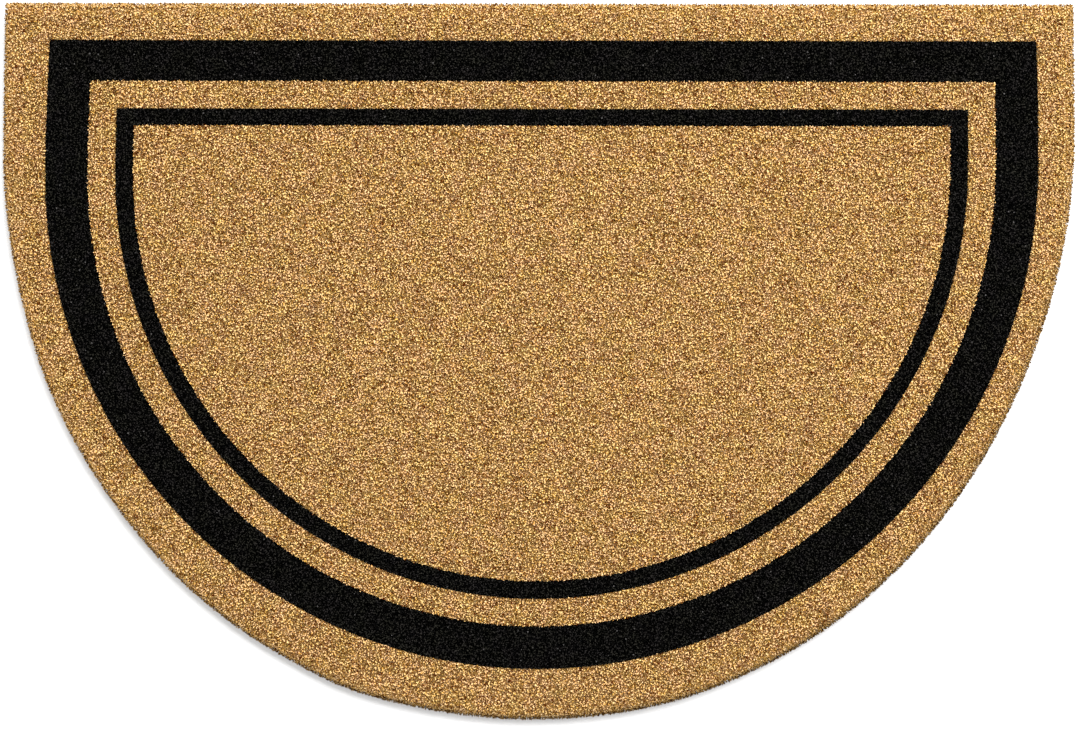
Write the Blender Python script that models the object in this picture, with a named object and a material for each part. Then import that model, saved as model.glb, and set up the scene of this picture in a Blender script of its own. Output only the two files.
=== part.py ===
"""Half round coir doormat: one closed solid, in metres, +Z up.

The mat lies flat. Its straight back edge runs along +X on the +Y side, its round edge faces -Y, and
the origin is on the floor at the middle of its outline. Seen from above, the outline is the back
edge, two short sides and one long curve. The curve is cut by hand, so its radius swells and shrinks
a little on the way round. Seen from the side, the backing stands straight up from the floor, the
coir above it leans out past the cut, and the tips are rounded over into the flat top.
"""

import math

import bmesh
import bpy
from mathutils import Vector

# The plan, from above. Angles fall from +X towards -Y, about the centre of the round.
WIDTH = 0.9144
BACK_WIDTH = 0.9120
BACK_TO_CENTRE = 0.1446
CENTRE_TO_THE_RIGHT = 0.0008
CORNER_RADIUS = 0.0025
SMALLEST_CORNER = 0.0005
CORNER_STEPS = 4
# The sides meet the curve this far behind the centre, where the mat is widest.
CURVE_OVERRUN = math.radians(5.0)
CURVE_STEPS = 96
# How far the hand cut strays outwards, as whole numbers of bumps along the curve.
CUT_STRAYS = (
    {"bumps": 1, "size": 0.0023},
    {"bumps": 2, "size": -0.0037},
    {"bumps": 3, "size": -0.0066},
    {"bumps": 5, "size": -0.0020},
)

# The rim, from the side.
THICKNESS = 0.015
BACKING_HEIGHT = 0.002
WIDEST_HEIGHT = 0.010
LEAN_OUT = 0.0015
CROWN_WIDTH = 0.0045
CROWN_STEPS = 4

COIR_COLOUR = (0.495, 0.282, 0.114, 1.0)
COIR_ROUGHNESS = 0.9


def cut_point(share):
    """A point of the round edge, from the centre of the round, at a share of the way along it."""
    angle = -CURVE_OVERRUN + share * (math.pi + 2 * CURVE_OVERRUN)
    right, left = WIDTH / 2 - CENTRE_TO_THE_RIGHT, WIDTH / 2 + CENTRE_TO_THE_RIGHT
    radius = (right + (left - right) * share) / math.cos(CURVE_OVERRUN)
    radius += sum(row["size"] * math.sin(row["bumps"] * math.pi * share) for row in CUT_STRAYS)
    return Vector((radius * math.cos(angle), -radius * math.sin(angle)))


def sharp_outline():
    """The widest outline with sharp back corners, clockwise from the back right corner."""
    round_edge = [cut_point(step / CURVE_STEPS) for step in range(CURVE_STEPS + 1)]
    back_right = Vector((BACK_WIDTH / 2 - CENTRE_TO_THE_RIGHT, BACK_TO_CENTRE))
    back_left = Vector((-BACK_WIDTH / 2 - CENTRE_TO_THE_RIGHT, BACK_TO_CENTRE))
    points = [back_right, *round_edge, back_left]
    across = [point.x for point in points]
    along = [point.y for point in points]
    middle = Vector(((min(across) + max(across)) / 2, (min(along) + max(along)) / 2))
    return [point - middle for point in points]


def inset(points, distance):
    """The same outline moved inwards by a distance, each point along its mitre."""
    moved = []
    for index, point in enumerate(points):
        before = (point - points[index - 1]).normalized()
        after = (points[(index + 1) % len(points)] - point).normalized()
        inward = [Vector((way.y, -way.x)) for way in (before, after)]
        mitre = inward[0] + inward[1]
        moved.append(point + mitre * distance / (1 + inward[0].dot(inward[1])))
    return moved


def corner_arc(corner, before, after, radius):
    """Points of an arc that rounds a corner between the points before and after it."""
    towards = [(point - corner).normalized() for point in (before, after)]
    half_opening = towards[0].angle(towards[1]) / 2
    bisector = (towards[0] + towards[1]).normalized()
    centre = corner + bisector * radius / math.sin(half_opening)
    start, end = (corner + way * radius / math.tan(half_opening) - centre for way in towards)
    arc = []
    for step in range(CORNER_STEPS + 1):
        spoke = start.slerp(end, step / CORNER_STEPS).normalized()
        arc.append(centre + spoke * radius)
    return arc


def rim_profile():
    """How far in from the widest outline the rim stands, and at what height, from the floor up."""
    profile = [
        {"inset": LEAN_OUT, "height": 0.0},
        {"inset": LEAN_OUT, "height": BACKING_HEIGHT},
    ]
    for step in range(CROWN_STEPS + 1):
        turn = step / CROWN_STEPS * math.pi / 2
        profile.append(
            {
                "inset": CROWN_WIDTH * (1 - math.cos(turn)),
                "height": WIDEST_HEIGHT + (THICKNESS - WIDEST_HEIGHT) * math.sin(turn),
            }
        )
    return profile


def add_ring(mesh, outline, row):
    """The edges of one closed ring of the rim, with rounded back corners."""
    points = inset(outline, row["inset"])
    radius = max(CORNER_RADIUS - row["inset"], SMALLEST_CORNER)
    right_arc = corner_arc(points[0], points[-1], points[1], radius)
    left_arc = corner_arc(points[-1], points[-2], points[0], radius)
    ring = [
        mesh.verts.new((point.x, point.y, row["height"]))
        for point in [*right_arc, *points[1:-1], *left_arc]
    ]
    return [mesh.edges.new((ring[index - 1], ring[index])) for index in range(len(ring))]


def coir_material():
    """Dry, dull coconut fibre."""
    material = bpy.data.materials.new("coir")
    material.use_nodes = True
    shader = material.node_tree.nodes["Principled BSDF"]
    shader.inputs["Base Color"].default_value = COIR_COLOUR
    shader.inputs["Roughness"].default_value = COIR_ROUGHNESS
    material.diffuse_color = COIR_COLOUR
    return material


def coir_mat(collection):
    """The mat: rings of its rim bridged from the floor up, and closed below and on top."""
    outline = sharp_outline()
    mesh = bmesh.new()
    rings = [add_ring(mesh, outline, row) for row in rim_profile()]
    for lower, upper in zip(rings, rings[1:]):
        bmesh.ops.bridge_loops(mesh, edges=lower + upper)
    for ring in (rings[0], rings[-1]):
        bmesh.ops.contextual_create(mesh, geom=ring)
    bmesh.ops.recalc_face_normals(mesh, faces=mesh.faces)
    data = bpy.data.meshes.new("coir_mat")
    mesh.to_mesh(data)
    mesh.free()
    data.materials.append(coir_material())
    data.shade_smooth()
    data.set_sharp_from_angle(angle=math.radians(30))
    mat = bpy.data.objects.new("coir_mat", data)
    collection.objects.link(mat)
    return mat


def main():
    for old in list(bpy.data.objects):
        bpy.data.objects.remove(old, do_unlink=True)
    collection = bpy.data.collections.new("half_round_doormat")
    bpy.context.scene.collection.children.link(collection)
    coir_mat(collection)


main()
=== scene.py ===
# %% [markdown]
# # A half round coir doormat
#
# This lesson dresses a flat, one-piece model of a doormat, so that it looks like the real one. The mat
# is cut coconut fibre, called coir, standing upright in a sheet of soft vinyl. Two plain black bands
# are printed on the tips. Everything here is in metres: +X runs along the straight back edge, +Y points
# to the back, and +Z points up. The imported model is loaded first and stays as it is. Its box is kept,
# because the finished mat has to fill the same space.

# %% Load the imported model
import math

import bpy
import numpy as np
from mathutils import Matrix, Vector
from mathutils.geometry import convex_hull_2d


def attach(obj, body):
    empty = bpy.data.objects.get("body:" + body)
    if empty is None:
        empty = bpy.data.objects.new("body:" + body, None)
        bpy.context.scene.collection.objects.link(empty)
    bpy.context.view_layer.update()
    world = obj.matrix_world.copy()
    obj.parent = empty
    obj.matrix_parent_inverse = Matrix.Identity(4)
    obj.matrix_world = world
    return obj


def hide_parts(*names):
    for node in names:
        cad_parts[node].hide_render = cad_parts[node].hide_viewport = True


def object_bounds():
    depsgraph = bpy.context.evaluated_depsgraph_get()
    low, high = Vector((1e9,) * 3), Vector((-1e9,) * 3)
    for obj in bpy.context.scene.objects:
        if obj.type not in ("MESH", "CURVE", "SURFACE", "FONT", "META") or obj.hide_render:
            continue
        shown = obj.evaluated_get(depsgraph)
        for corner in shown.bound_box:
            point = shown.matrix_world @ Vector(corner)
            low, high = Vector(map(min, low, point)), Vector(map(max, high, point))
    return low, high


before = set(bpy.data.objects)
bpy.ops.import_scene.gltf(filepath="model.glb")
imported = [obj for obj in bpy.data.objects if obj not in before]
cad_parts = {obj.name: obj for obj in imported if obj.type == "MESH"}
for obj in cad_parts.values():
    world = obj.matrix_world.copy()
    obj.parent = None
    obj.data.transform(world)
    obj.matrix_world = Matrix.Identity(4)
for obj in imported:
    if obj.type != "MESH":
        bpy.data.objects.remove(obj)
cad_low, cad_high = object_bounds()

MM = 0.001
cad_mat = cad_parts["coir_mat"]
mat_top = cad_high.z
print("mat", [round(side / MM, 1) for side in cad_high - cad_low], "mm")

# %% [markdown]
# ## The camera
#
# The photo is taken from straight above. A camera far away with a long lens keeps the mat's sides out
# of sight, as they are there. The picture is 1080 by 731 pixels, and one pixel is 0.854 mm at the tips
# of the pile, so the lens follows from the width that the picture covers and from the distance. The
# picture's middle lies a little in front of the mat's middle, and the mat lies a tenth of a degree
# turned, which the camera's roll repeats.

# %% Camera
PICTURE_WIDE, PICTURE_HIGH = 1080, 731
METRES_A_PIXEL = 0.8538 * MM
MAT_MIDDLE_PIXEL = (538.6, 361.5)
CAMERA_DISTANCE = 2.5
CAMERA_ROLL = math.radians(0.1)
SENSOR_WIDTH = 36.0

camera_data = bpy.data.cameras.new("photo_camera")
camera_data.sensor_width = SENSOR_WIDTH
camera_data.lens = SENSOR_WIDTH * CAMERA_DISTANCE / (PICTURE_WIDE * METRES_A_PIXEL)
camera = bpy.data.objects.new("photo_camera", camera_data)
bpy.context.scene.collection.objects.link(camera)
camera.location = (
    (PICTURE_WIDE / 2 - MAT_MIDDLE_PIXEL[0]) * METRES_A_PIXEL,
    (MAT_MIDDLE_PIXEL[1] - PICTURE_HIGH / 2) * METRES_A_PIXEL,
    mat_top + CAMERA_DISTANCE,
)
camera.rotation_euler = (0.0, 0.0, CAMERA_ROLL)
bpy.context.scene.camera = camera
print("lens", round(camera_data.lens, 1), "mm")

# %% [markdown]
# ## Floor and light
#
# The mat lies on a plain white floor that the light fills completely. Only a thin soft shadow shows, in
# front of the round edge. So a large soft lamp stands behind the mat and to its right, and the white
# surroundings fill in from everywhere else. The plain Standard view keeps white white. The floor lies a
# hair below the mat, so that no two faces share a place.

# %% Floor and light
FLOOR_SIZE = 12.0
FLOOR_BELOW = 0.2 * MM
FLOOR_COLOUR = (0.81, 0.81, 0.81, 1.0)
FLOOR_ROUGHNESS = 0.8
LAMP_SIZE = 4.2
LAMP_PLACE = Vector((1.15, 2.2, 1.9))
LAMP_WATTS = 338.0
SURROUNDINGS = 1.06

scene = bpy.context.scene
scene.view_settings.view_transform = "Standard"

bpy.ops.object.select_all(action="DESELECT")
bpy.ops.mesh.primitive_plane_add(size=FLOOR_SIZE, location=(0.0, 0.0, -FLOOR_BELOW))
floor = bpy.context.object
floor.name = "floor"
bpy.ops.object.transform_apply(location=True, rotation=True, scale=True)
floor_paint = bpy.data.materials.new("white_floor")
floor_paint.use_nodes = True
floor_shader = floor_paint.node_tree.nodes["Principled BSDF"]
floor_shader.inputs["Base Color"].default_value = FLOOR_COLOUR
floor_shader.inputs["Roughness"].default_value = FLOOR_ROUGHNESS
floor.data.materials.append(floor_paint)
print("floor", FLOOR_SIZE, "m square,", FLOOR_BELOW / MM, "mm below the mat")

lamp_data = bpy.data.lights.new("soft_lamp", "AREA")
lamp_data.shape = "SQUARE"
lamp_data.size = LAMP_SIZE
lamp_data.energy = LAMP_WATTS
lamp = bpy.data.objects.new("soft_lamp", lamp_data)
scene.collection.objects.link(lamp)
lamp.location = LAMP_PLACE
lamp.rotation_euler = (-LAMP_PLACE).to_track_quat("-Z", "Y").to_euler()

world = bpy.data.worlds.new("white_surroundings")
world.use_nodes = True
world.node_tree.nodes["Background"].inputs["Strength"].default_value = SURROUNDINGS
world.node_tree.nodes["Background"].inputs["Color"].default_value = (1.0, 1.0, 1.0, 1.0)
scene.world = world

# %% [markdown]
# ## The outline
#
# A mat like this is cut to shape by hand, so its edge strays a little. Most of that is in the packed
# mat. The knife strayed outwards by up to 2 mm more at three places of the round edge, which are added
# here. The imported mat's outline has no dents, so its hull is its outline. Its back corners are rounded
# by short edges. The cut pile's are sharp, so those edges are left out, and the long ones run on until
# they meet.

# %% Outline
LONGEST_CORNER_EDGE = 1.5 * MM
CUT_CENTRE = np.array([0.0, cad_high.y - 144 * MM])
# Degrees from +X towards the front.
CUT_STRAYS = (
    {"at": 76, "half_width": 7, "out": 1.1 * MM},
    {"at": 110, "half_width": 5, "out": 2.0 * MM},
    {"at": 155, "half_width": 10, "out": 2.0 * MM},
)


def strayed(points):
    """Points of the edge, moved outwards where the cut strayed."""
    spokes = points - CUT_CENTRE
    angles = np.degrees(np.arctan2(-spokes[:, 1], spokes[:, 0]))
    out = np.zeros(len(points))
    for stray in CUT_STRAYS:
        out += stray["out"] * np.exp(-(((angles - stray["at"]) / stray["half_width"]) ** 2))
    return points + spokes / np.linalg.norm(spokes, axis=1, keepdims=True) * out[:, None]


def edges_from(points):
    """The way from each point of the outline to the next, and its length."""
    ways = np.roll(points, -1, axis=0) - points
    return ways, np.linalg.norm(ways, axis=1)


flat_points = [vertex.co.to_2d() for vertex in cad_mat.data.vertices]
outline = strayed(np.array([flat_points[index] for index in convex_hull_2d(flat_points)]))
edge_ways, edge_lengths = edges_from(outline)
long_edges = edge_lengths > LONGEST_CORNER_EDGE
outline, edge_ways, edge_lengths = outline[long_edges], edge_ways[long_edges], edge_lengths[long_edges]
inward = np.stack([-edge_ways[:, 1], edge_ways[:, 0]], axis=1) / edge_lengths[:, None]
edge_offsets = (outline * inward).sum(axis=1)
normal_pairs = np.stack([np.roll(inward, 1, axis=0), inward], axis=1)
offset_pairs = np.stack([np.roll(edge_offsets, 1), edge_offsets], axis=1)
outline = np.linalg.solve(normal_pairs, offset_pairs[:, :, None])[:, :, 0]
edge_ways, edge_lengths = edges_from(outline)
print("left out", int((~long_edges).sum()), "short edges at the corners")

# %% [markdown]
# ## How far in, and which way is out
#
# Every fibre needs to know how far it stands inside the cut edge, and which way is out. Blender can find
# the nearest point of a mesh, but only one point at a time. Here each edge of the outline is a straight
# line with an inward normal, and arrays answer for all fibres at once. The distance to the nearest line
# is how far in a point lies. The way out is a mean of the nearest lines' normals, which turns smoothly
# round the back corners.

# %% How far in
CORNER_REACH = 1.5 * MM


def how_far_in(points):
    """Distance from the cut edge to each point, positive inside the mat."""
    return (points @ inward.T - edge_offsets).min(axis=1)


def way_out(points):
    """Unit direction from each point to the cut edge, smooth round the corners."""
    depth = points @ inward.T - edge_offsets
    nearness = np.exp(-(depth - depth.min(axis=1, keepdims=True)) / CORNER_REACH)
    ways = -(nearness * edge_lengths.clip(0, 2 * CORNER_REACH)) @ inward
    return ways / np.linalg.norm(ways, axis=1, keepdims=True)


print("middle of the mat", round(float(how_far_in(np.zeros((1, 2)))[0]) / MM, 1), "mm in")

# %% [markdown]
# ## The printed bands
#
# Each band is the same shape drawn twice, once inside the other: a straight back, sides that bend in a
# little towards the back corners, and a half circle in front. The whole stencil is skewed by half a
# degree. A point is inside such a shape if it lies in front of the back line, and if its reach, which is
# its distance to the line that runs back from the centre, is less than the radius.

# %% Bands
ROUND_CENTRE = Vector((2.3 * MM, cad_high.y - 143.8 * MM))
SKEW = 0.0097
SIDE_BEND_RADIUS = 2.3
BANDS = {
    "wide": {
        "outer_radius": 424.4 * MM,
        "inner_radius": 387.8 * MM,
        "outer_back": 30.9 * MM,
        "inner_back": 65.9 * MM,
    },
    "narrow": {
        "outer_radius": 364.5 * MM,
        "inner_radius": 349.1 * MM,
        "outer_back": 89.3 * MM,
        "inner_back": 103.8 * MM,
    },
}


def inside_shape(points, radius, back):
    """Whether points lie inside a half round shape that starts this far in front of the back edge."""
    x, y = (points - ROUND_CENTRE).T
    in_front, behind = np.minimum(y, 0.0), np.maximum(y, 0.0)
    reach = np.hypot(x - SKEW * y, in_front) + behind**2 / (2 * SIDE_BEND_RADIUS)
    return (reach < radius) & (points[:, 1] < cad_high.y - back)


def in_band(points, band):
    """Whether points lie on a printed band."""
    outer = inside_shape(points, band["outer_radius"], band["outer_back"])
    return outer & ~inside_shape(points, band["inner_radius"], band["inner_back"])


# %% [markdown]
# ## Node helpers
#
# A small helper adds a node, sets its inputs and links them, so that each material below reads as a
# list of steps.


# %% Node helpers
def link_or_set(tree, socket, value):
    """Link a socket to another node's output, or set it to a value."""
    if isinstance(value, bpy.types.NodeSocket):
        tree.links.new(value, socket)
    else:
        socket.default_value = value


def add_node(tree, kind, inputs=None, **settings):
    """A new node with its settings, and its inputs set to values or linked to other nodes' outputs."""
    node = tree.nodes.new(kind)
    for name, value in settings.items():
        setattr(node, name, value)
    for name, value in (inputs or {}).items():
        link_or_set(tree, node.inputs[name], value)
    return node


def math_node(tree, operation, *values):
    """The output of a Math node."""
    return add_node(tree, "ShaderNodeMath", dict(enumerate(values)), operation=operation).outputs[0]


def vector_node(tree, operation, *values):
    """A Vector Math node."""
    return add_node(tree, "ShaderNodeVectorMath", dict(enumerate(values)), operation=operation)


def map_range(tree, value, low, high, new_low=0.0, new_high=1.0):
    """The output of a Map Range node, kept between the new limits."""
    limits = {"From Min": low, "From Max": high, "To Min": new_low, "To Max": new_high}
    return add_node(tree, "ShaderNodeMapRange", {"Value": value, **limits}).outputs[0]


def mix_values(tree, share, first, second):
    """The output of a Mix node for plain numbers."""
    return add_node(tree, "ShaderNodeMix", {0: share, 2: first, 3: second}).outputs[0]


def mix_colour(tree, share, first, second, blend="MIX"):
    """The colour output of a Mix node."""
    settings = {"data_type": "RGBA", "blend_type": blend}
    return add_node(tree, "ShaderNodeMix", {0: share, 6: first, 7: second}, **settings).outputs[2]


def own_place(tree):
    """The place on the piece, in the frame that every piece shares."""
    return add_node(tree, "ShaderNodeTexCoord").outputs["Object"]


def new_group(name, inputs, outputs):
    """An empty shader node group with its sockets, and its two end nodes."""
    group = bpy.data.node_groups.new(name, "ShaderNodeTree")
    for socket, kind in inputs.items():
        group.interface.new_socket(socket, in_out="INPUT", socket_type=kind)
    for socket, kind in outputs.items():
        group.interface.new_socket(socket, in_out="OUTPUT", socket_type=kind)
    return group, group.nodes.new("NodeGroupInput"), group.nodes.new("NodeGroupOutput")


def new_material(name):
    """A material, its node tree and its Principled shader."""
    material = bpy.data.materials.new(name)
    material.use_nodes = True
    return material, material.node_tree, material.node_tree.nodes["Principled BSDF"]


# %% [markdown]
# ## The stencil
#
# The bands are printed from above through a stencil, so a fibre is black where it stood under the
# opening, and it has moved a little since. One node group tells whether a place lies on a band. The bed
# hands it its own place, and a fibre hands it the place where it stood when it was printed.

# %% Stencil group
NUMBER, VECTOR, COLOUR = "NodeSocketFloat", "NodeSocketVector", "NodeSocketColor"
stencil, group_in, group_out = new_group(
    "printed_band",
    {
        "Place": VECTOR,
        "Outer radius": NUMBER,
        "Inner radius": NUMBER,
        "Outer back": NUMBER,
        "Inner back": NUMBER,
    },
    {"Mask": NUMBER},
)
round_centre = (ROUND_CENTRE.x, ROUND_CENTRE.y, 0.0)
from_centre = vector_node(stencil, "SUBTRACT", group_in.outputs["Place"], round_centre)
split = add_node(stencil, "ShaderNodeSeparateXYZ", {0: from_centre.outputs[0]})
across = math_node(stencil, "MULTIPLY_ADD", split.outputs["Y"], -SKEW, split.outputs["X"])
in_front = math_node(stencil, "MINIMUM", split.outputs["Y"], 0.0)
behind = math_node(stencil, "MAXIMUM", split.outputs["Y"], 0.0)
spoke = add_node(stencil, "ShaderNodeCombineXYZ", {"X": across, "Y": in_front})
reach = vector_node(stencil, "LENGTH", spoke.outputs[0]).outputs["Value"]
bend = math_node(stencil, "MULTIPLY", behind, behind)
reach = math_node(stencil, "MULTIPLY_ADD", bend, 1 / (2 * SIDE_BEND_RADIUS), reach)
from_back = math_node(stencil, "SUBTRACT", cad_high.y - ROUND_CENTRE.y, split.outputs["Y"])
inside = {}
for side in ("Outer", "Inner"):
    in_round = math_node(stencil, "LESS_THAN", reach, group_in.outputs[f"{side} radius"])
    in_back = math_node(stencil, "GREATER_THAN", from_back, group_in.outputs[f"{side} back"])
    inside[side] = math_node(stencil, "MULTIPLY", in_round, in_back)
mask = math_node(stencil, "SUBTRACT", inside["Outer"], inside["Inner"])
stencil.links.new(mask, group_out.inputs["Mask"])


def printed_mask(tree, place):
    """A mask of both bands, at a place."""
    masks = []
    for band in BANDS.values():
        sizes = {name.capitalize().replace("_", " "): size for name, size in band.items()}
        node = add_node(tree, "ShaderNodeGroup", {}, node_tree=stencil)
        for name, value in {"Place": place, **sizes}.items():
            link_or_set(tree, node.inputs[name], value)
        masks.append(node.outputs["Mask"])
    return math_node(tree, "ADD", *masks)


# %% [markdown]
# ## Coir colour
#
# A coir fibre is golden tan, and no two are quite alike: some are pale as straw and some are brown.
# Deeper down it stands in the shade of its neighbours, and that shade is painted into its colour.
# Patches of the mat lean a little to yellow or to pink, as the husks that it was made of did. The fibres
# that splay out at the rim are a little cooler, and a few black tips are grey with dust, so a fibre can
# also take some of a second tint. What is in the painted shade loses its blue first and its green next,
# so it looks redder. One node group turns a shade, a share of painted light and a share of that tint into
# a colour, for the natural and for the black coir, on the fibres and on the bed between them.

# %% Coir colour group
PATCHES_A_METRE = 75.0
YELLOW_TINT = (1.00, 1.01, 0.84, 1.0)
PINK_TINT = (1.02, 0.97, 0.98, 1.0)
PATCH_RANGE = (0.38, 0.62)
LIGHT_LOST = {"green": 1.2, "blue": 1.7}

coir_colour, group_in, group_out = new_group(
    "coir_colour",
    {
        "Shade": NUMBER,
        "Up": NUMBER,
        "Tinted": NUMBER,
        "Dark": COLOUR,
        "Middle": COLOUR,
        "Pale": COLOUR,
        "Tint": COLOUR,
    },
    {"Colour": COLOUR},
)
to_middle = map_range(coir_colour, group_in.outputs["Shade"], 0.0, 0.5)
to_pale = map_range(coir_colour, group_in.outputs["Shade"], 0.5, 1.0)
colour = mix_colour(coir_colour, to_middle, group_in.outputs["Dark"], group_in.outputs["Middle"])
colour = mix_colour(coir_colour, to_pale, colour, group_in.outputs["Pale"])
patches = add_node(
    coir_colour,
    "ShaderNodeTexNoise",
    {"Vector": own_place(coir_colour), "Scale": PATCHES_A_METRE, "Detail": 2.0},
)
pinkness = map_range(coir_colour, patches.outputs["Fac"], *PATCH_RANGE)
tint = mix_colour(coir_colour, pinkness, YELLOW_TINT, PINK_TINT)
tint = mix_colour(coir_colour, group_in.outputs["Tinted"], tint, group_in.outputs["Tint"])
colour = mix_colour(coir_colour, 1.0, colour, tint, "MULTIPLY")
# Up is painted light: below one it is painted shade, above one a painted highlight.
up = group_in.outputs["Up"]
up_green = math_node(coir_colour, "POWER", up, LIGHT_LOST["green"])
up_blue = math_node(coir_colour, "POWER", up, LIGHT_LOST["blue"])
light = add_node(coir_colour, "ShaderNodeCombineColor", {"Red": up, "Green": up_green, "Blue": up_blue})
colour = mix_colour(coir_colour, 1.0, colour, light.outputs[0], "MULTIPLY")
coir_colour.links.new(colour, group_out.inputs["Colour"])

NATURAL = {
    "Dark": (0.075, 0.013, 0.0002, 1.0),
    "Middle": (0.745, 0.418, 0.098, 1.0),
    "Pale": (0.785, 0.535, 0.265, 1.0),
    "Tint": (1.00, 1.04, 1.15, 1.0),
}
BLACK = {
    "Dark": (0.0004, 0.0004, 0.0004, 1.0),
    "Middle": (0.0006, 0.0006, 0.0006, 1.0),
    "Pale": (0.0185, 0.0175, 0.0165, 1.0),
    "Tint": (4.0, 4.0, 4.1, 1.0),
}


def coir_looks(tree, printed, shade, up, tinted):
    """The colour of coir, natural or black by the mask of what is printed."""
    colours = []
    for shades in (NATURAL, BLACK):
        look = add_node(tree, "ShaderNodeGroup", {}, node_tree=coir_colour)
        for name, value in {"Shade": shade, "Up": up, "Tinted": tinted, **shades}.items():
            link_or_set(tree, look.inputs[name], value)
        colours.append(look.outputs["Colour"])
    return mix_colour(tree, printed, *colours)


# %% [markdown]
# ## The fibres' material
#
# Each fibre carries four things of its own: its shade, its share of the second tint, the light painted
# into its colour, and how far it has moved since it was printed. It stands for a few real strands, which
# are finer, so small upright cells make its shade lighter or darker from strand to strand. It is painted
# darker low down, as shade where the pile's top falls away to the rim. Fine streaks run along it, in its
# roughness and as a slight relief. The black ink is duller than bare coir, so it has a material of its
# own.

# %% Fibre material
ENDS_A_METRE = 1150.0
ENDS_SPREAD = 1.8
ENDS_SPREAD_AT_RIM = 0.5
STREAKS_A_METRE = 4000.0
STREAK_STRETCH = 0.12
STREAK_DEPTH = 0.04 * MM
STREAK_RANGE = (0.3, 0.7)
FIBRE_ROUGHNESS = (0.5, 0.8)
# Painted shade: the colour darkens low down, between these heights, to this share of its light.
PAINTED_SHADE_HEIGHTS = (3.0 * MM, 12.0 * MM)
PAINTED_SHADE_LIGHT = 0.30


def own_number(tree, name):
    """A number that each fibre carries."""
    return add_node(tree, "ShaderNodeAttribute", attribute_name=name).outputs["Fac"]


def fibre_material(name, gloss):
    """Coir fibres, natural or black by where each stood under the stencil."""
    material, tree, shader = new_material(name)
    place = own_place(tree)
    moved = add_node(tree, "ShaderNodeAttribute", attribute_name="moved").outputs["Vector"]
    printed = printed_mask(tree, vector_node(tree, "ADD", place, moved).outputs[0])
    height = add_node(tree, "ShaderNodeSeparateXYZ", {0: place}).outputs["Z"]
    # Painted shade, darker low down.
    up = map_range(tree, height, *PAINTED_SHADE_HEIGHTS, PAINTED_SHADE_LIGHT, 1.0)
    cell_sizes = {"Vector": place, "Scale": ENDS_A_METRE}
    cells = add_node(tree, "ShaderNodeTexVoronoi", cell_sizes, voronoi_dimensions="2D")
    picks = add_node(tree, "ShaderNodeSeparateColor", {0: cells.outputs["Color"]})
    tinted = own_number(tree, "tinted")
    spread = map_range(tree, tinted, 0.0, 1.0, ENDS_SPREAD, ENDS_SPREAD_AT_RIM)
    pick = map_range(tree, picks.outputs["Red"], 0.0, 1.0, -1.0)
    shade = math_node(tree, "MULTIPLY_ADD", pick, spread, own_number(tree, "shade"))
    colour = coir_looks(tree, printed, shade, up, tinted)
    # Painted light and shade near the rim multiply the colour.
    colour = mix_colour(tree, 1.0, colour, own_number(tree, "lit"), "MULTIPLY")
    drawn_out = vector_node(tree, "MULTIPLY", place, (1.0, 1.0, STREAK_STRETCH)).outputs[0]
    streaks = add_node(tree, "ShaderNodeTexNoise", {"Vector": drawn_out, "Scale": STREAKS_A_METRE})
    relief = add_node(tree, "ShaderNodeBump", {"Height": streaks.outputs["Fac"], "Distance": STREAK_DEPTH})
    roughness = map_range(tree, streaks.outputs["Fac"], *STREAK_RANGE, *FIBRE_ROUGHNESS)
    tree.links.new(colour, shader.inputs["Base Color"])
    tree.links.new(roughness, shader.inputs["Roughness"])
    tree.links.new(relief.outputs["Normal"], shader.inputs["Normal"])
    shader.inputs["Specular IOR Level"].default_value = gloss
    return material


natural_coir = fibre_material("natural_coir", gloss=0.015)
black_coir = fibre_material("black_coir", gloss=0.005)

# %% [markdown]
# ## The vinyl backing
#
# The fibres stand in a sheet of soft vinyl, 2 mm thick, which is the mat's underside. It could be drawn
# afresh from the outline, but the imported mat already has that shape. So a copy of it is cut off level at
# the top of the vinyl, and its edge is moved out where the knife strayed.

# %% Vinyl backing
BACKING_TOP = 2.0 * MM
SAME_PLACE = 0.01 * MM
NEARLY_FLAT = math.radians(0.5)


def slice_of_mat(name, bottom, top):
    """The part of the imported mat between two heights, as a closed piece."""
    piece = bpy.data.objects.new(name, cad_mat.data.copy())
    scene.collection.objects.link(piece)
    piece.data.materials.clear()
    bpy.ops.object.select_all(action="DESELECT")
    piece.select_set(True)
    bpy.context.view_layer.objects.active = piece
    bpy.ops.object.mode_set(mode="EDIT")
    bpy.ops.mesh.select_all(action="SELECT")
    bpy.ops.mesh.remove_doubles(threshold=SAME_PLACE)
    for height, clear_below in ((bottom, True), (top, False)):
        if cad_low.z < height < cad_high.z:
            bpy.ops.mesh.select_all(action="SELECT")
            bpy.ops.mesh.bisect(
                plane_co=(0.0, 0.0, height),
                plane_no=(0.0, 0.0, 1.0),
                use_fill=True,
                clear_inner=clear_below,
                clear_outer=not clear_below,
            )
    bpy.ops.mesh.select_all(action="SELECT")
    bpy.ops.mesh.dissolve_limited(angle_limit=NEARLY_FLAT)
    bpy.ops.object.mode_set(mode="OBJECT")
    vertices = piece.data.vertices
    moved_places = strayed(np.array([vertex.co.to_2d() for vertex in vertices]))
    for vertex, place in zip(vertices, moved_places):
        vertex.co.x, vertex.co.y = place
    return piece


backing = slice_of_mat("vinyl_backing", cad_low.z, BACKING_TOP)
print("backing", len(backing.data.polygons), "faces")

# %% [markdown]
# ## The vinyl's face
#
# The underside is hidden in the photo, so it is finished plainly, with the fine pebbled face that such
# sheets have. The pebbles are far too shallow to model, so they are a bump. Broad clouds change the
# vinyl's colour and its sheen a little.

# %% Vinyl
PEBBLES_A_METRE = 700.0
PEBBLE_DEPTH = 0.2 * MM
CLOUDS_A_METRE = 40.0
VINYL_DARK = (0.022, 0.018, 0.015, 1.0)
VINYL_PALE = (0.040, 0.032, 0.026, 1.0)
VINYL_ROUGHNESS = (0.55, 0.8)

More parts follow.
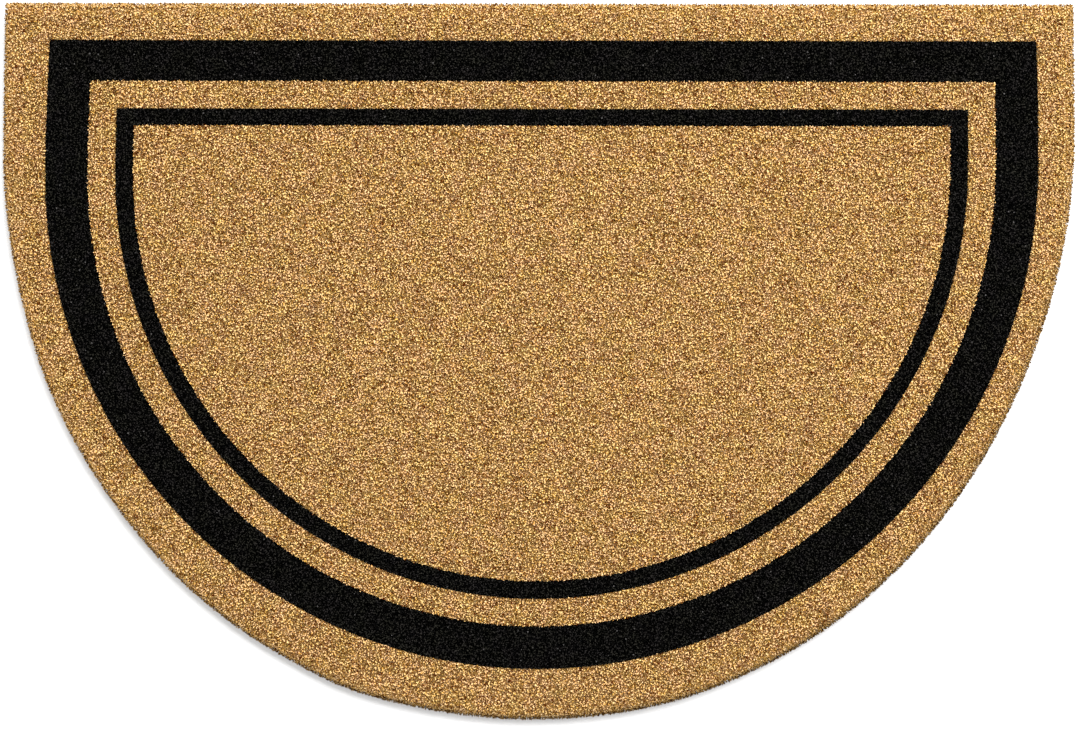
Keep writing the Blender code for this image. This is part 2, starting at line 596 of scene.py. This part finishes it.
vinyl, vinyl_tree, vinyl_shader = new_material("dark_vinyl")
on_vinyl = own_place(vinyl_tree)
pebble_sizes = {"Vector": on_vinyl, "Scale": PEBBLES_A_METRE}
pebbles = add_node(vinyl_tree, "ShaderNodeTexVoronoi", pebble_sizes).outputs["Distance"]
cloud_sizes = {"Vector": on_vinyl, "Scale": CLOUDS_A_METRE, "Detail": 4.0}
clouds = add_node(vinyl_tree, "ShaderNodeTexNoise", cloud_sizes).outputs["Fac"]
pebble_relief = add_node(vinyl_tree, "ShaderNodeBump", {"Height": pebbles, "Distance": PEBBLE_DEPTH})
vinyl_colour = mix_colour(vinyl_tree, clouds, VINYL_DARK, VINYL_PALE)
vinyl_roughness = map_range(vinyl_tree, clouds, 0.0, 1.0, *VINYL_ROUGHNESS)
vinyl_tree.links.new(vinyl_colour, vinyl_shader.inputs["Base Color"])
vinyl_tree.links.new(vinyl_roughness, vinyl_shader.inputs["Roughness"])
vinyl_tree.links.new(pebble_relief.outputs["Normal"], vinyl_shader.inputs["Normal"])
backing.data.materials.append(vinyl)
print("vinyl", len(vinyl_tree.nodes), "nodes")

# %% [markdown]
# ## Packed strands
#
# Between the modelled fibres one looks down on many more, which are too many to model. They are drawn
# in nodes instead, in three layers. The cells of a Voronoi texture give each strand its place, and the
# cell's random colour gives its direction and its shade. A strand covers what lies below it, and where
# no layer has a strand, a gap shows, in the darkest tone and with painted shade on the bed.

# %% Packed strands group
STRAND_LAYERS = 3
LAYER_SHIFT = (0.37, 0.71, 0.0)
STRAND_EDGE_HEIGHT = 0.5

packed_strands, group_in, group_out = new_group(
    "packed_strands",
    {"Place": VECTOR, "Strands a metre": NUMBER, "Half width": NUMBER},
    {"Shade": NUMBER, "Height": NUMBER},
)
shade_so_far, height_so_far = 0.0, 0.0
for layer in range(STRAND_LAYERS):
    shift = [distance * layer for distance in LAYER_SHIFT]
    place = vector_node(packed_strands, "ADD", group_in.outputs["Place"], shift).outputs[0]
    cells = add_node(
        packed_strands,
        "ShaderNodeTexVoronoi",
        {"Vector": place, "Scale": group_in.outputs["Strands a metre"]},
        voronoi_dimensions="2D",
    )
    picks = add_node(packed_strands, "ShaderNodeSeparateColor", {0: cells.outputs["Color"]})
    from_middle = vector_node(packed_strands, "SUBTRACT", place, cells.outputs["Position"])
    turn = math_node(packed_strands, "MULTIPLY", picks.outputs["Red"], math.tau)
    turned = add_node(
        packed_strands,
        "ShaderNodeVectorRotate",
        {"Vector": from_middle.outputs[0], "Angle": turn},
        rotation_type="Z_AXIS",
    )
    split = add_node(packed_strands, "ShaderNodeSeparateXYZ", {0: turned.outputs[0]})
    across = math_node(packed_strands, "ABSOLUTE", split.outputs["X"])
    share_across = math_node(packed_strands, "DIVIDE", across, group_in.outputs["Half width"])
    on_strand = math_node(packed_strands, "LESS_THAN", share_across, 1.0)
    roundness = map_range(packed_strands, share_across, 0.0, 1.0, 1.0, STRAND_EDGE_HEIGHT)
    height = math_node(packed_strands, "MULTIPLY", roundness, (layer + 1) / STRAND_LAYERS)
    shade_so_far = mix_values(packed_strands, on_strand, shade_so_far, picks.outputs["Green"])
    height_so_far = mix_values(packed_strands, on_strand, height_so_far, height)
packed_strands.links.new(shade_so_far, group_out.inputs["Shade"])
packed_strands.links.new(height_so_far, group_out.inputs["Height"])

# %% [markdown]
# ## The bed of the pile
#
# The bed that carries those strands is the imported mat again, cut off below the tips and drawn in a
# little, so that the fibres of the rim stand in front of its side.

# %% Bed
BED_TOP = 11.0 * MM
BED_DRAWN_IN = 1.2 * MM

bed = slice_of_mat("coir_bed", BACKING_TOP, BED_TOP)
for vertex in bed.data.vertices:
    out_x, out_y = way_out(np.array([vertex.co.to_2d()]))[0]
    vertex.co.x -= out_x * BED_DRAWN_IN
    vertex.co.y -= out_y * BED_DRAWN_IN
print("bed", len(bed.data.polygons), "faces")

# %% [markdown]
# ## The bed's finish
#
# The strands' height lights the bed, from the dark gaps up to the ends that stand highest, and bumps it.
# On the bed's side the same drawing becomes upright streaks, because it has no depth of its own.

# %% Bed finish
BED_STRANDS_A_METRE = 1100.0
BED_STRAND_HALF_WIDTH = 0.23 * MM
BED_RELIEF = 0.8 * MM
GAP_LIGHT = 0.12
TOP_LIGHT = 1.65
BED_ROUGHNESS = 0.9
BED_GLOSS = 0.01

bed_material, bed_tree, bed_shader = new_material("coir_bed")
on_bed = own_place(bed_tree)
strands = add_node(bed_tree, "ShaderNodeGroup", {}, node_tree=packed_strands)
strand_sizes = {"Strands a metre": BED_STRANDS_A_METRE, "Half width": BED_STRAND_HALF_WIDTH}
for name, value in {"Place": on_bed, **strand_sizes}.items():
    link_or_set(bed_tree, strands.inputs[name], value)
strand_height = strands.outputs["Height"]
# Painted shade in the gaps between strands, and a painted highlight on the highest.
bed_light = map_range(bed_tree, strand_height, 0.0, 1.0, GAP_LIGHT, TOP_LIGHT)
bed_printed = printed_mask(bed_tree, on_bed)
bed_colour = coir_looks(bed_tree, bed_printed, strands.outputs["Shade"], bed_light, 0.0)
bed_relief = add_node(bed_tree, "ShaderNodeBump", {"Height": strand_height, "Distance": BED_RELIEF})
bed_tree.links.new(bed_colour, bed_shader.inputs["Base Color"])
bed_tree.links.new(bed_relief.outputs["Normal"], bed_shader.inputs["Normal"])
bed_shader.inputs["Roughness"].default_value = BED_ROUGHNESS
bed_shader.inputs["Specular IOR Level"].default_value = BED_GLOSS
bed.data.materials.append(bed_material)
print("bed finish", len(bed_tree.nodes), "nodes")

# %% [markdown]
# ## One fibre
#
# A hair system would grow the pile quickly, but its strands aren't closed shapes that other programs can
# use. So a fibre is modelled once, standing on its foot, one unit long and one unit across, and copied.
# There are more than two hundred thousand of them, so it has the fewest faces that a closed shape can
# have, which is four: a cone with three sides that stands on its point. Its flat end is the cut that the
# shears left, and its foot is a point, because it is hidden between its neighbours.

# %% One fibre
bpy.ops.object.select_all(action="DESELECT")
bpy.ops.mesh.primitive_cone_add(
    vertices=3, radius1=0.0, radius2=1 / math.sqrt(3), depth=1.0, location=(0.0, 0.0, 0.5)
)
fibre = bpy.context.object
fibre.name = "one_fibre"
bpy.ops.object.transform_apply(location=True, rotation=True, scale=True)

fibre_points = np.array([vertex.co for vertex in fibre.data.vertices])
fibre_faces = np.array([list(polygon.vertices) for polygon in fibre.data.polygons])
bpy.data.objects.remove(fibre)
print("one fibre", fibre_points.round(3).tolist(), len(fibre_faces), "triangles")

# %% [markdown]
# ## Copying the fibre
#
# The copies are worked out all at once, in arrays, and joined into one mesh. Each has a foot, a tip, a
# thickness and a random turn about itself. Each also has a small square of its own on the map that an
# export bakes its colours on, and fills part of it.

# %% Copying the fibre
UPRIGHT = 1e-9
SQUARE_FILLED = 0.6


def across_fibre(axes, turns):
    """Two unit directions across each fibre, turned about it."""
    upright = np.hypot(axes[:, 0], axes[:, 1]) < UPRIGHT
    sideways = np.cross(axes, [0.0, 0.0, 1.0])
    sideways[upright] = [1.0, 0.0, 0.0]
    sideways /= np.linalg.norm(sideways, axis=1, keepdims=True)
    other = np.cross(axes, sideways)
    other /= np.linalg.norm(other, axis=1, keepdims=True)
    cosine, sine = np.cos(turns)[:, None], np.sin(turns)[:, None]
    return sideways * cosine + other * sine, other * cosine - sideways * sine


def bake_squares(count):
    """A map position for every point of every fibre."""
    squares_across = math.ceil(math.sqrt(count))
    index = np.arange(count)
    corner = np.stack([index % squares_across, index // squares_across], axis=1)
    seen_from_above = 0.5 + SQUARE_FILLED * fibre_points[None, :, :2]
    return (corner[:, None, :] + seen_from_above) / squares_across


def add_attribute(mesh, name, kind, values):
    """A new attribute of the mesh's points."""
    key = "vector" if kind == "FLOAT_VECTOR" else "value"
    mesh.attributes.new(name, kind, "POINT").data.foreach_set(key, values.astype(np.float32).ravel())


def copy_fibres(name, fibres, material):
    """One mesh of many fibres, from arrays with a row for each."""
    feet, axes = fibres["foot"], fibres["tip"] - fibres["foot"]
    first, second = across_fibre(axes, fibres["turn"])
    width = fibres["thickness"][:, None, None]
    x, y, z = (fibre_points[None, :, axis : axis + 1] for axis in range(3))
    points = feet[:, None] + axes[:, None] * z + (first[:, None] * x + second[:, None] * y) * width
    count, points_each = points.shape[:2]
    faces = fibre_faces[None] + np.arange(count)[:, None, None] * points_each
    mesh = bpy.data.meshes.new(name)
    mesh.from_pydata(points.reshape(-1, 3), [], faces.reshape(-1, 3))
    for attribute in ("shade", "tinted", "lit"):
        add_attribute(mesh, attribute, "FLOAT", np.repeat(fibres[attribute], points_each))
    add_attribute(mesh, "moved", "FLOAT_VECTOR", np.repeat(fibres["moved"], points_each, axis=0))
    corner_points = np.empty(len(mesh.loops), np.int32)
    mesh.loops.foreach_get("vertex_index", corner_points)
    places = bake_squares(count).reshape(-1, 2)[corner_points]
    mesh.uv_layers.new(name="OFBake").uv.foreach_set("vector", places.astype(np.float32).ravel())
    mesh.materials.append(material)
    mesh.shade_flat()
    piece = bpy.data.objects.new(name, mesh)
    scene.collection.objects.link(piece)
    print(name, count, "fibres,", len(mesh.polygons), "triangles")
    return piece


# %% [markdown]
# ## Where the fibres stand
#
# The feet stand on a grid with every second row shifted, and each is nudged at random. Points that are
# random all over would leave bald spots, while this spaces them evenly without rows that show. Only the
# feet inside the cut edge are kept.

# %% Where the fibres stand
FIBRE_SPACING = 1.56 * MM
NUDGE = 0.42
CLOSEST_TO_EDGE = 0.4 * MM
chance = np.random.default_rng(36)


def nudged_grid(spacing):
    """Evenly spaced random points over the mat's box."""
    columns = np.arange(cad_low.x, cad_high.x, spacing)
    rows = np.arange(cad_low.y, cad_high.y, spacing * math.sqrt(3) / 2)
    x, y = np.meshgrid(columns, rows)
    x = x + (np.arange(len(rows)) % 2 * spacing / 2)[:, None]
    points = np.stack([x.ravel(), y.ravel()], axis=1)
    return points + chance.uniform(-NUDGE, NUDGE, points.shape) * spacing


feet_flat = nudged_grid(FIBRE_SPACING)
feet_depth = how_far_in(feet_flat)
inside_edge = feet_depth > CLOSEST_TO_EDGE
feet_flat, feet_depth = feet_flat[inside_edge], feet_depth[inside_edge]
count = len(feet_flat)
print("feet", count)

# %% [markdown]
# ## How the fibres lean
#
# The tips are sheared off level, so a fibre that leans further is longer. Near the cut edge nothing holds
# the fibres back. There they lean outwards, more so the nearer they stand, up to a ragged overhang, and
# the pile's top falls away in a round.

# %% How the fibres lean
FOOT_HEIGHT = 10.5 * MM
SHORTEST_FIBRE = 2.5 * MM
LEAN = math.radians(12.0)
LEAN_SPREAD = math.radians(9.0)
MOST_LEAN = math.radians(60.0)
SHEARED_SPREAD = 0.6 * MM
RIM_WIDTH = 8.0 * MM
RIM_STEADIED = 0.5
RIM_LEAN = 0.9
OVERHANG = (0.2 * MM, 1.6 * MM)
CROWN_WIDTH = 7.0 * MM
WIDEST_HEIGHT = 10.0 * MM


def crown_height(depth):
    """Height of the pile's rounded top at a distance in from the cut edge."""
    share = np.clip(1 - depth / CROWN_WIDTH, 0, 1)
    return WIDEST_HEIGHT + (mat_top - WIDEST_HEIGHT) * np.sqrt(1 - share**2)


nearness = np.clip(1 - feet_depth / RIM_WIDTH, 0, 1)
near_rim = nearness > 0
lean = np.tan(np.abs(chance.normal(LEAN, LEAN_SPREAD, count)).clip(0, MOST_LEAN))
heading = chance.uniform(0, math.tau, count)
lean_way = np.stack([np.cos(heading), np.sin(heading)], axis=1) * lean[:, None]
rim_pull = nearness[near_rim, None]
lean_way[near_rim] *= 1 - RIM_STEADIED * rim_pull
lean_way[near_rim] += way_out(feet_flat[near_rim]) * rim_pull * RIM_LEAN
rise = mat_top - FOOT_HEIGHT - np.abs(chance.normal(0, SHEARED_SPREAD, count))
tips_flat = feet_flat + lean_way * rise[:, None]
tip_depth = how_far_in(tips_flat)
too_far = np.maximum(-chance.uniform(*OVERHANG, count) - tip_depth, 0)
tips_flat[near_rim] -= way_out(tips_flat[near_rim]) * too_far[near_rim, None]
tip_height = np.minimum(FOOT_HEIGHT + rise, crown_height(np.maximum(tip_depth, 0)))
foot_height = np.minimum(FOOT_HEIGHT, tip_height - SHORTEST_FIBRE)
print("fibres near the rim", int(near_rim.sum()), "lowest tip", round(tip_height.min() / MM, 1), "mm")

# %% [markdown]
# ## Light at the rim
#
# Seen from above, the very edge is darker and the pile just behind it a little brighter. Where the edge
# faces the front, away from the light, a wider strip is darker, and a little so on the right. The light
# that a fibre has by its place is worked out here, and its material multiplies its colour by it.

# %% Light at the rim
LIGHT_DEPTHS = (0.0, 1.5 * MM, 3.0 * MM, 4.0 * MM, 7.0 * MM)
LIGHT_SHARES = (0.72, 0.74, 0.94, 1.14, 1.0)
SHADED_WIDTH = 7.0 * MM
SHADED_WAY = (0.4, -1.0)
SHADED_MOST = 0.55


def rim_light(points, ways):
    """The share of its light that the pile has near the cut edge, by the way that the edge faces."""
    depth = how_far_in(points)
    near_edge = np.clip(1 - depth / SHADED_WIDTH, 0, 1)
    shaded = SHADED_MOST * near_edge * np.clip(ways @ SHADED_WAY, 0, 1)
    return np.interp(depth, LIGHT_DEPTHS, LIGHT_SHARES) * (1 - shaded)


lit = np.ones(count)
lit[near_rim] = rim_light(tips_flat[near_rim], way_out(tips_flat[near_rim]))
print("light from", round(lit.min(), 2), "to", round(lit.max(), 2))

# %% [markdown]
# ## The pile's own numbers
#
# The fibres differ most from each other in the middle of the mat. Towards the rim they are more alike,
# thinner and nearer to the second tint, and painted a little darker as shade. A few are grey with dust. A
# fibre has also moved a little since the bands were printed.

# %% Numbers of the pile
FIBRE_THICKNESS = 1.25 * MM
PILE_THICKNESSES = (0.7, 1.25)
RIM_THINNING = 0.25
PILE_SHADE, PILE_SHADE_SPREAD = 0.50, 0.22
RIM_LIKENESS = 0.6
RIM_PAINTED_SHADE = 0.05
RIM_TINT_POWER = 0.8
DUSTY_SHARE = 0.004
DUSTY_SHADE = 1.2
MOVED_SINCE_PRINTING = 0.35 * MM

shade_spread = chance.normal(0, PILE_SHADE_SPREAD, count) * (1 - RIM_LIKENESS * nearness)
# Painted shade: a little darker towards the rim.
shade = PILE_SHADE + shade_spread - RIM_PAINTED_SHADE * nearness
dusty = chance.uniform(0, 1, count) < DUSTY_SHARE
thinned = 1 - RIM_THINNING * nearness
pile = {
    "foot": np.column_stack([feet_flat, foot_height]),
    "tip": np.column_stack([tips_flat, tip_height]),
    "thickness": FIBRE_THICKNESS * chance.uniform(*PILE_THICKNESSES, count) * thinned,
    "turn": chance.uniform(0, math.tau, count),
    "shade": np.where(dusty, DUSTY_SHADE, np.clip(shade, 0, 1)),
    "tinted": np.where(dusty, 1.0, nearness**RIM_TINT_POWER),
    "lit": lit,
    "moved": np.column_stack([chance.normal(0, MOVED_SINCE_PRINTING, (count, 2)), np.zeros(count)]),
}
print("pile", count, "fibres,", int(dusty.sum()), "of them dusty")

# %% [markdown]
# ## Sorting the fibres into pieces
#
# The fibres of each band are a piece of their own. A fibre belongs to a band if the stretch that shows,
# nearer to its tip, lies on it. The natural fibres could be one piece, but it would be too heavy to
# handle. So they are split from left to right into pieces that stay under 200,000 triangles.

# %% Pieces of pile
MOST_FIBRES = 49000
shown_at = (feet_flat + 2 * tips_flat) / 3
on_band = {name: in_band(shown_at, band) for name, band in BANDS.items()}
natural = ~(on_band["wide"] | on_band["narrow"])
pieces = []


def fibre_piece(name, fibres, chosen, material):
    """A piece made of the chosen fibres, with its material slot."""
    piece = copy_fibres(name, {key: rows[chosen] for key, rows in fibres.items()}, material)
    pieces.append(piece)


for name, chosen in on_band.items():
    fibre_piece(f"{name}_black_band", pile, np.flatnonzero(chosen), black_coir)
left_to_right = np.flatnonzero(natural)[np.argsort(feet_flat[natural, 0], kind="stable")]
strips = math.ceil(len(left_to_right) / MOST_FIBRES)
for index, chosen in enumerate(np.array_split(left_to_right, strips)):
    fibre_piece(f"natural_pile_{index + 1}", pile, chosen, natural_coir)

# %% [markdown]
# ## The rim
#
# From the side the mat is a wall of cut coir. Its fibres stand in the vinyl itself, hide it from above,
# and reach up to the pile's round. They are sown along the outline, each a random share of the wall's
# thickness behind its face. Their tone is painted darker than the pile's, as shade on the wall, and as in
# the photo, the outermost are the darkest.

# %% Rim fibres
RIM_FIBRES = 18000
RIM_FOOT_DEPTH = (1.6 * MM, 3.6 * MM)
RIM_FOOT_SUNK = 0.2 * MM
RIM_TIP_DEPTH = (-1.1 * MM, 2.8 * MM)
RIM_TIP_SPREAD = 0.3 * MM
RIM_SIDEWAYS = 1.3 * MM
RIM_ROUGHNESS = 0.8 * MM
LOWEST_RIM_TIP = 7.0 * MM
RIM_THICKNESSES = (0.5, 0.9)
RIM_SHADE, RIM_SHADE_SPREAD = 0.24, 0.12
PALER_BEHIND = 0.30

edge_start = np.concatenate([[0], np.cumsum(edge_lengths)])
walk = chance.uniform(0, edge_start[-1], RIM_FIBRES)
which = np.searchsorted(edge_start, walk, side="right") - 1
edge_share = (walk - edge_start[which]) / edge_lengths[which]
on_edge = outline[which] + edge_ways[which] * edge_share[:, None]
outwards = way_out(on_edge)
sideways = np.stack([-outwards[:, 1], outwards[:, 0]], axis=1)
behind_face = chance.uniform(0, 1, RIM_FIBRES)
rim_foot_depth = np.interp(behind_face, [0, 1], RIM_FOOT_DEPTH)
rim_tip_depth = np.interp(behind_face, [0, 1], RIM_TIP_DEPTH)
rim_tip_depth = np.maximum(rim_tip_depth + chance.normal(0, RIM_TIP_SPREAD, RIM_FIBRES), -OVERHANG[1])
rim_feet = on_edge - outwards * rim_foot_depth[:, None]
rim_tips = on_edge - outwards * rim_tip_depth[:, None]
rim_tips += sideways * chance.normal(0, RIM_SIDEWAYS, RIM_FIBRES)[:, None]
rim_tip_height = crown_height(np.maximum(how_far_in(rim_tips), 0))
rim_tip_height -= np.abs(chance.normal(0, RIM_ROUGHNESS, RIM_FIBRES))
rim_tip_height = np.clip(rim_tip_height, LOWEST_RIM_TIP, mat_top)
rim_thickness = FIBRE_THICKNESS * chance.uniform(*RIM_THICKNESSES, RIM_FIBRES)
rim_turn = chance.uniform(0, math.tau, RIM_FIBRES)
# Painted shade: the rim fibres' tone is low, and lowest at the outermost.
rim_shade = chance.normal(RIM_SHADE, RIM_SHADE_SPREAD, RIM_FIBRES) + PALER_BEHIND * behind_face
rim = {
    "foot": np.column_stack([rim_feet, np.full(RIM_FIBRES, BACKING_TOP - RIM_FOOT_SUNK)]),
    "tip": np.column_stack([rim_tips, rim_tip_height]),
    "thickness": rim_thickness,
    "turn": rim_turn,
    "shade": np.clip(rim_shade, 0, 1),
    "tinted": np.ones(RIM_FIBRES),
    "lit": rim_light(rim_tips, outwards),
    "moved": np.zeros((RIM_FIBRES, 3)),
}
fibre_piece("rim_fibres", rim, slice(None), natural_coir)

# %% [markdown]
# ## Handing over
#
# The backing, the bed and the fibres together stand for the imported mat, and ride on its one body.

# %% Handing over
for piece in (backing, bed, *pieces):
    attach(piece, "root")
    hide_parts("coir_mat")
print("in all", sum(len(piece.data.polygons) for piece in pieces), "triangles of fibre")
